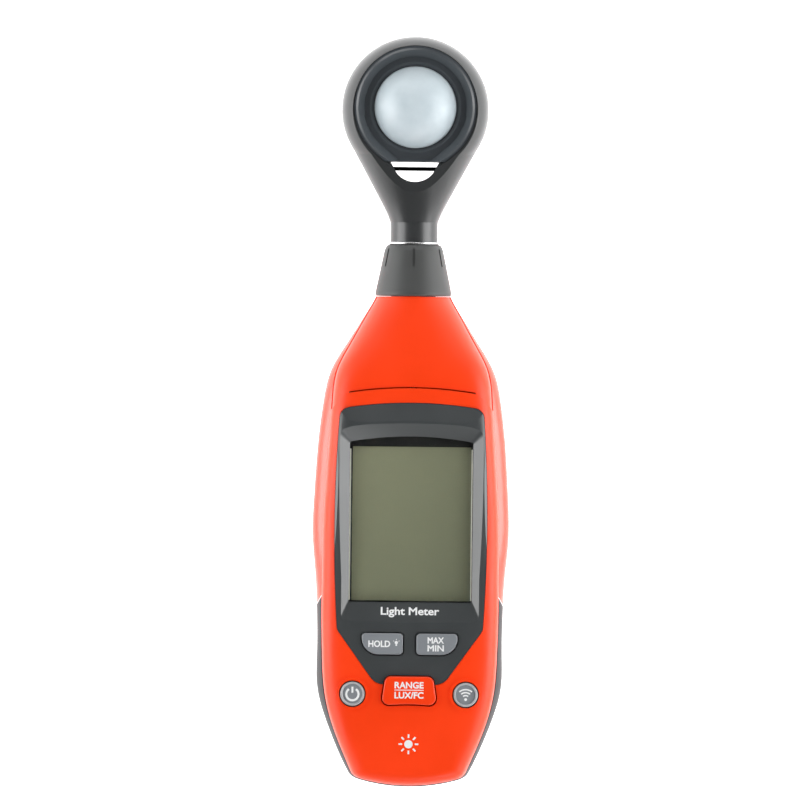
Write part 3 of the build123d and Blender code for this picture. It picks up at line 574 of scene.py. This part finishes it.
def frame_plate(outer, inner, bottom, top):
    """A solid rectangular frame between two (x0, x1, y0, y1) boxes."""
    work = bmesh.new()
    rings = []
    for z in (bottom, top):
        for x0, x1, y0, y1 in (outer, inner):
            rings.append([work.verts.new((x, y, z)) for x, y in ((x0, y0), (x1, y0), (x1, y1), (x0, y1))])
    low_outer, low_inner, high_outer, high_inner = rings
    pairs = (low_outer, low_inner), (high_outer, high_inner), (low_outer, high_outer), (low_inner, high_inner)
    for a, b in pairs:
        for i in range(4):
            k = (i + 1) % 4
            work.faces.new((a[i], a[k], b[k], b[i]))
    bmesh.ops.recalc_face_normals(work, faces=work.faces)
    mesh = bpy.data.meshes.new("plate")
    work.to_mesh(mesh)
    work.free()
    return mesh


def lathe(profile, x, y, count=64):
    """A ring turned about a vertical axis from a closed (radius, height) profile."""
    work = bmesh.new()
    rings = []
    for i in range(count):
        t = 2 * math.pi * i / count
        rings.append([work.verts.new((x + r * math.cos(t), y + r * math.sin(t), z)) for r, z in profile])
    for ring, following in zip(rings, rings[1:] + rings[:1]):
        for i in range(len(profile)):
            k = (i + 1) % len(profile)
            work.faces.new((ring[i], following[i], following[k], ring[k]))
    bmesh.ops.recalc_face_normals(work, faces=work.faces)
    mesh = bpy.data.meshes.new("ring")
    work.to_mesh(mesh)
    work.free()
    for polygon in mesh.polygons:
        polygon.use_smooth = True
    return mesh


def add_display_surround():
    """The dark border under the window, its wide top band painted shade under the brow, and pale glowing
    strips of painted highlight at the glass's sides.
    """
    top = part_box("lcd_panel")[1][2]
    # A black band: printed border at the sides and foot, and painted shade in its wide top band under the
    # brow
    border = frame_plate(BORDER_OUTER, BORDER_INNER, top + 0.12 * MM, top + 0.3 * MM)
    add_piece("window_border_and_shade", border, MATERIALS["black_plastic"], "handset")
    highlight_strips = join_flat([strip([(x, y) for y in EDGE_HIGHLIGHT_Y], 0.3 * MM) for x in EDGE_HIGHLIGHT_X])
    lay_on(highlight_strips, surface_of("lcd_panel"), 0.38 * MM, -0.32 * MM)
    edge = printed("edge_highlight", EDGE_HIGHLIGHT)
    # The strips glow though they are no lamp: a painted highlight on the glass's edges
    shader = edge.node_tree.nodes["Principled BSDF"]
    shader.inputs["Emission Color"].default_value = (*EDGE_HIGHLIGHT, 1.0)
    shader.inputs["Emission Strength"].default_value = 0.45
    add_piece("display_edge_highlight", highlight_strips, edge, "handset")


# Outline of a key's rim: radius and height over the key's face, in millimetres
RIM_PROFILE = ((2.45, -0.25), (2.45, 0.02), (2.55, 0.16), (2.72, 0.22),
               (2.90, 0.16), (3.02, -0.02), (3.02, -0.25))


def add_key_rims():
    """A raised rim round each round key's face; its paler colour than the key is a painted highlight."""
    # The rim's paler colour is a painted highlight on the raised ring
    rim = plastic("key_rim", KEY_RIM_HIGHLIGHT, 0.34, 0.25, strength=0.08, depth=0.01, spread=0.03)
    for key in ("power", "wireless"):
        x, y = centre_of(f"{key}_button")
        top = surface_of(f"{key}_button").ray_cast(Vector((x, y, ABOVE)), DOWN)[0].z
        ring = lathe([(r * MM, top + z * MM) for r, z in RIM_PROFILE], x, y)
        add_piece(f"{key}_rim", ring, rim, f"{key}_button")


# --- floor, light and camera -------------------------------------------------

def add_floor():
    """A wide white floor just under the meter."""
    work = bmesh.new()
    bmesh.ops.create_grid(work, x_segments=4, y_segments=4, size=3.0)
    mesh = bpy.data.meshes.new("floor")
    work.to_mesh(mesh)
    work.free()
    floor = bpy.data.objects.new("floor", mesh)
    floor.location.z = LOW.z - 0.1 * MM
    mesh.materials.append(floor_material())
    bpy.context.scene.collection.objects.link(floor)


def add_area(name, place, size, power):
    """A soft box that points at the meter."""
    light = bpy.data.lights.new(name, "AREA")
    light.shape = "RECTANGLE"
    light.size, light.size_y = size
    light.energy = power
    holder = bpy.data.objects.new(name, light)
    holder.location = place
    holder.rotation_euler = (LIGHT_TARGET - Vector(place)).to_track_quat("-Z", "Y").to_euler()
    bpy.context.scene.collection.objects.link(holder)


def add_lights():
    """Soft boxes all round the meter, and a low strip at each side."""
    add_area("left_box", (-0.80, 0.0, 0.36), (0.9, 0.6), 4.2)
    add_area("right_box", (0.80, 0.0, 0.36), (0.9, 0.6), 5.1)
    add_area("left_rim", (-0.70, 0.0, 0.13), (0.18, 1.2), 1.9)
    add_area("right_rim", (0.70, 0.0, 0.13), (0.18, 1.2), 1.9)
    add_area("head_box", (0.0, 0.90, 0.60), (0.9, 0.4), 3.1)
    add_area("foot_box", (0.35, -0.85, 0.55), (0.7, 0.4), 2.4)


def add_sky():
    """A white sky that is dim overhead and brightest low at the sides."""
    world = bpy.data.worlds.new("studio")
    world.use_nodes = True
    tree = world.node_tree
    split = tree.nodes.new("ShaderNodeSeparateXYZ")
    tree.links.new(tree.nodes.new("ShaderNodeTexCoord").outputs["Generated"], split.inputs["Vector"])
    sky = remap(tree, split.outputs["Z"], SKY_HORIZON, SKY_ZENITH, 0.2, 0.75)
    aside = tree.nodes.new("ShaderNodeMath")
    aside.operation = "ABSOLUTE"
    tree.links.new(split.outputs["X"], aside.inputs[0])
    strength = tree.nodes.new("ShaderNodeMath")
    strength.operation = "MULTIPLY"
    tree.links.new(sky, strength.inputs[0])
    sideways = remap(tree, aside.outputs["Value"], SKY_AHEAD, SKY_ASIDE, 0.2, 0.9)
    tree.links.new(sideways, strength.inputs[1])
    tree.links.new(strength.outputs["Value"], tree.nodes["Background"].inputs["Strength"])
    tree.nodes["Background"].inputs["Color"].default_value = (1.0, 1.0, 1.0, 1.0)
    bpy.context.scene.world = world


def add_camera():
    """A camera that looks straight down, rolled a little about its own axis."""
    camera = bpy.data.cameras.new("camera")
    camera.sensor_width = 36.0
    middle = (LOW.z + HIGH.z) / 2
    camera.lens = camera.sensor_width * (CAMERA_HEIGHT - middle) / FIELD
    camera.clip_start = 0.01
    holder = bpy.data.objects.new("camera", camera)
    holder.location = (*VIEW_CENTRE, CAMERA_HEIGHT)
    holder.rotation_euler = (0, 0, CAMERA_ROLL)
    bpy.context.scene.collection.objects.link(holder)
    bpy.context.scene.camera = holder


bpy.context.scene.view_settings.view_transform = "Standard"
add_camera()
add_lights()
add_sky()
add_floor()
dress_nodes()
oblong_key_legends()
round_key_legends()
panel_legends()
add_display_surround()
add_key_rims()
